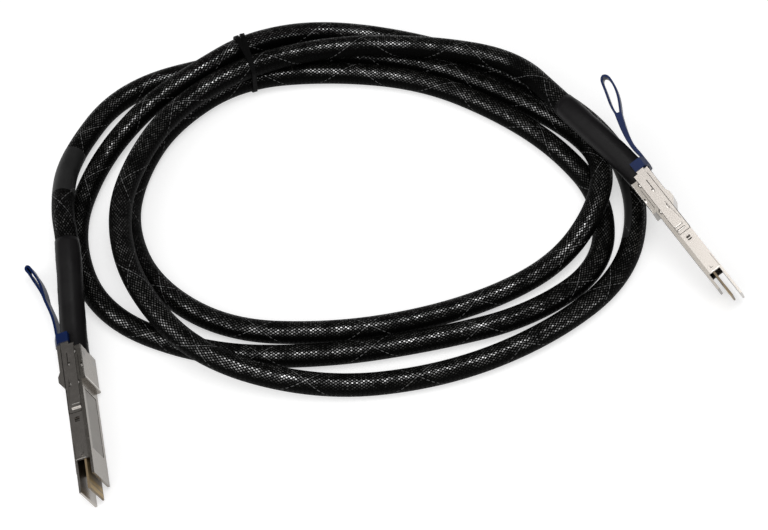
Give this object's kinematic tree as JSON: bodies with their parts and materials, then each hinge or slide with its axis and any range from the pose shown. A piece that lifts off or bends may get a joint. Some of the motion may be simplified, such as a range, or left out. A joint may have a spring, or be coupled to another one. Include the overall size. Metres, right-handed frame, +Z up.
{
  "type": "direct attach copper cable",
  "caption": "Coiled, sleeved copper cable with a pluggable metal connector, blue pull tab and sliding release at each end, tied in loops.",
  "frame": {"origin": "on the floor, under the middle of the box round both plugs, boots and the tie", "axes": "+Z up from the floor the coil lies on; +X to the right along the coil's long way, from plug a's side to plug b's; +Y away from the plugs' mouths"},
  "size_m": [0.3533, 0.2815, 0.0436],
  "materials": {
    "nickel_zinc": "satin nickel plate on die-cast zinc",
    "slider_steel": "satin pressed steel",
    "steel": "plain steel",
    "clamp_metal": "die-cast, unpolished",
    "blank_label": "satin film, blank",
    "card_laminate": "glass laminate with tan solder mask",
    "gold_pad": "gold plated",
    "wire_insulation": "foil-wrapped insulation",
    "potting_resin": "moulded, dull",
    "blue_tab": "flexible moulding with a soft sheen",
    "shrink_sleeve": "shrunk sleeve, satin",
    "braided_sleeve": "fine monofilament braid with pale tracer threads",
    "tie_cord": "woven band"
  },
  "bodies": {
    "root": {"boot_a": "shrink_sleeve", "boot_b": "shrink_sleeve", "cable": "braided_sleeve", "cable_core_a": "wire_insulation", "cable_core_b": "wire_insulation", "coil_tie": "tie_cord", "contact_pads_a": "gold_pad", "contact_pads_b": "gold_pad", "cover_rivets_a": "steel", "cover_rivets_b": "steel", "end_clamp_a": "clamp_metal", "end_clamp_b": "clamp_metal", "label_a": "blank_label", "label_b": "blank_label", "paddle_card_a": "card_laminate", "paddle_card_b": "card_laminate", "pair_wires_a": "wire_insulation", "pair_wires_b": "wire_insulation", "shell_base_a": "nickel_zinc", "shell_base_b": "nickel_zinc", "shell_cover_a": "nickel_zinc", "shell_cover_b": "nickel_zinc", "slider_springs_a": "steel", "slider_springs_b": "steel", "wire_potting_a": "potting_resin", "wire_potting_b": "potting_resin"},
    "latch_a": {"release_slider_a": "slider_steel", "pull_tab_a": "blue_tab"},
    "latch_b": {"release_slider_b": "slider_steel", "pull_tab_b": "blue_tab"}
  },
  "joints": [
    {"name": "release_a", "type": "slide", "parent": "root", "child": "latch_a", "axis": [-0.2079, 0.9781, 0.0087], "range_m": [0, 0.003], "stiffness_N_per_m": 1200, "springref_m": -0.002, "deforming": ["slider_springs_a"]},
    {"name": "release_b", "type": "slide", "parent": "root", "child": "latch_b", "axis": [-0.5596, 0.8111, 0.1702], "range_m": [0, 0.003], "stiffness_N_per_m": 1200, "springref_m": -0.002, "deforming": ["slider_springs_b"]}
  ]
}
